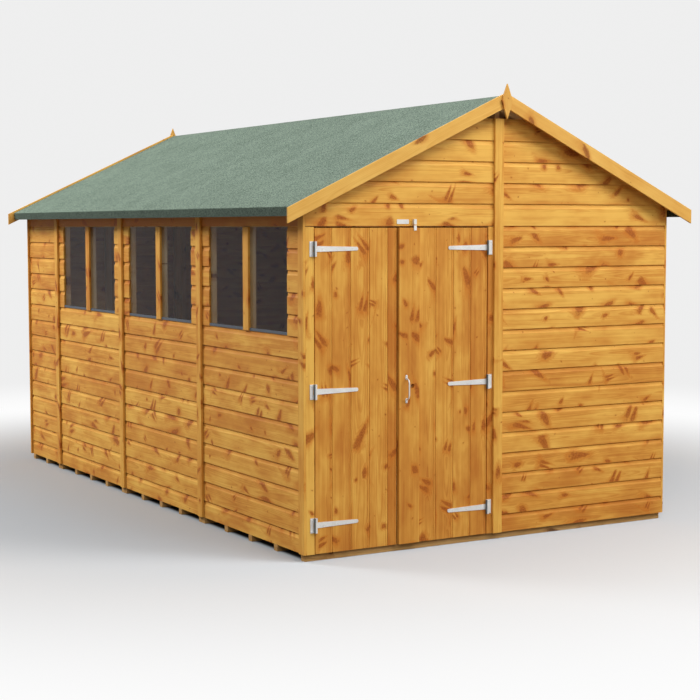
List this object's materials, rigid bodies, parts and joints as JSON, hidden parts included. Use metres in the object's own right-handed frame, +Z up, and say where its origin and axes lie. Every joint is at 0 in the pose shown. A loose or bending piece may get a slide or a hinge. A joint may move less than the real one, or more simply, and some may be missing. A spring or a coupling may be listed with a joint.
{
  "type": "garden shed",
  "caption": "Boarded timber garden shed with an apex felt roof, side windows, bargeboards with finials and a pair of hinged doors at one end.",
  "frame": {"origin": "centre of the shed's outline on the ground", "axes": "+X to the right seen from the doors, +Y from the doors to the back, +Z up"},
  "size_m": [2.644, 4.378, 2.4672],
  "materials": {
    "boards": "honey stained softwood boards",
    "frame_wood": "sawn softwood",
    "trim_wood": "planed pale softwood",
    "felt": "grit faced roofing felt",
    "felt_edge": "folded roofing felt",
    "glass": "clear",
    "bead": "dark painted bead",
    "zinc": "bright zinc plate"
  },
  "bodies": {
    "shed": {"floor_bearers": "frame_wood", "floor_deck": "frame_wood", "left_wall_lower": "boards", "left_wall_piers": "boards", "left_wall_head": "boards", "window_glass": "glass", "window_mullions": "boards", "window_beads": "bead", "right_wall": "boards", "back_wall": "boards", "front_panel": "boards", "front_header": "boards", "door_jambs": "boards", "wall_posts": "frame_wood", "wall_rails": "frame_wood", "gable_rafters": "frame_wood", "cover_strips": "boards", "roof_deck_left": "frame_wood", "roof_deck_right": "frame_wood", "roof_felt_left": "felt", "roof_felt_right": "felt", "eaves_bands": "felt_edge", "roof_purlins": "frame_wood", "ridge_beam": "frame_wood", "front_bargeboards": "trim_wood", "back_bargeboards": "trim_wood", "finials": "trim_wood", "hinge_plates": "zinc", "catch_keep": "zinc"},
    "left_leaf": {"left_leaf_boards": "boards", "left_leaf_ledges": "frame_wood", "left_leaf_braces": "frame_wood", "left_straps": "zinc"},
    "right_leaf": {"right_leaf_boards": "boards", "right_leaf_ledges": "frame_wood", "right_leaf_braces": "frame_wood", "closing_strip": "boards", "right_straps": "zinc", "pull_handle": "zinc", "catch_bolt": "zinc"}
  },
  "joints": [
    {"name": "left_leaf_hinge", "type": "hinge", "parent": "shed", "child": "left_leaf", "pos_m": [-1.134, -2.1154, 0.873], "axis": [0, 0, -1], "range_deg": [0, 160]},
    {"name": "right_leaf_hinge", "type": "hinge", "parent": "shed", "child": "right_leaf", "pos_m": [-0.0655, -2.1154, 0.873], "axis": [0, 0, 1], "range_deg": [0, 160]}
  ]
}
